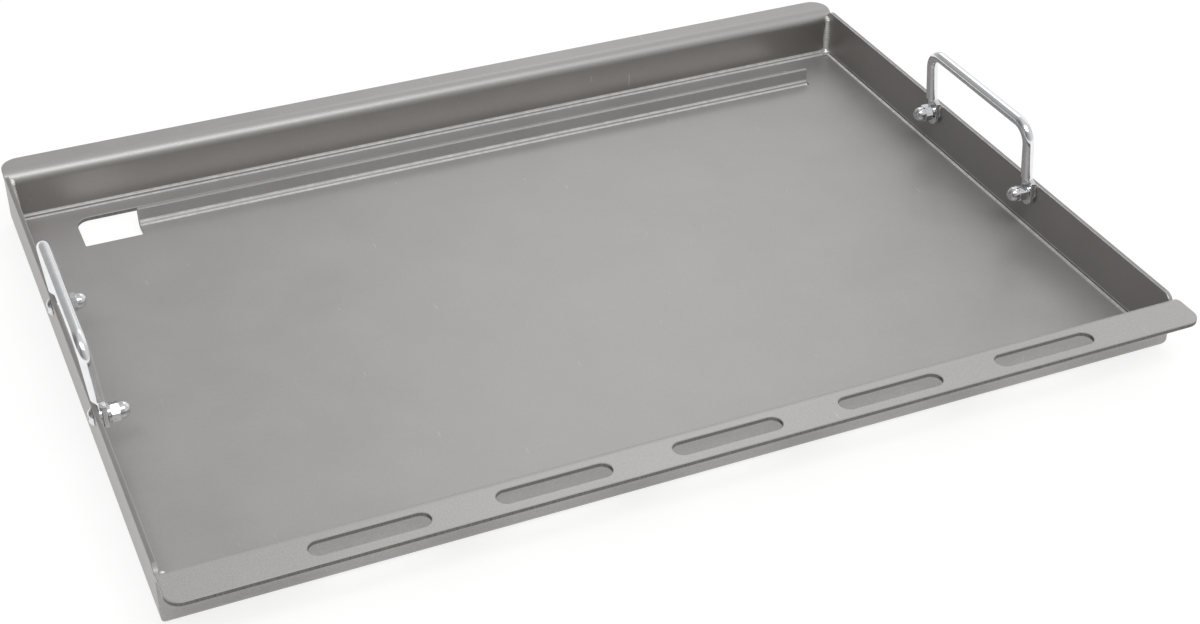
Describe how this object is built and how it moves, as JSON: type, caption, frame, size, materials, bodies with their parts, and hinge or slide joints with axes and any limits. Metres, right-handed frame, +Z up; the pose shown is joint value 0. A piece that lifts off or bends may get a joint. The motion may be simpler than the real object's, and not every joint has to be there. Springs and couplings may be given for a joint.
{
  "type": "camp griddle plate",
  "caption": "Bent sheet steel griddle tray with a slotted front lip, a rear grease gutter with fence and drain hole, and bolted rod handles; it lies over camp stove burners.",
  "frame": {"origin": "middle of the whole part's plan, from the lip's front edge to the flange's rear edge, on the underside", "axes": "+X to the cook's right, along the lip; +Y to the back, from the lip to the gutter; +Z up"},
  "size_m": [0.616, 0.463, 0.0817],
  "materials": {
    "plate_steel": "bare rolled steel sheet, satin grey",
    "weld_steel": "bare weld metal, brighter than the sheet",
    "handle_chrome": "bright chrome plate on bent rod",
    "plated_hardware": "bright plated fasteners"
  },
  "bodies": {
    "root": {"griddle_plate": "plate_steel", "front_left_weld": "weld_steel", "front_right_weld": "weld_steel", "rear_left_weld": "weld_steel", "rear_right_weld": "weld_steel", "left_handle": "handle_chrome", "right_handle": "handle_chrome", "left_front_screw": "plated_hardware", "left_rear_screw": "plated_hardware", "right_front_screw": "plated_hardware", "right_rear_screw": "plated_hardware", "left_front_washer": "plated_hardware", "left_rear_washer": "plated_hardware", "right_front_washer": "plated_hardware", "right_rear_washer": "plated_hardware", "left_front_lock_washer": "plated_hardware", "left_rear_lock_washer": "plated_hardware", "right_front_lock_washer": "plated_hardware", "right_rear_lock_washer": "plated_hardware", "left_front_nut": "plated_hardware", "left_rear_nut": "plated_hardware", "right_front_nut": "plated_hardware", "right_rear_nut": "plated_hardware"}
  },
  "joints": []
}
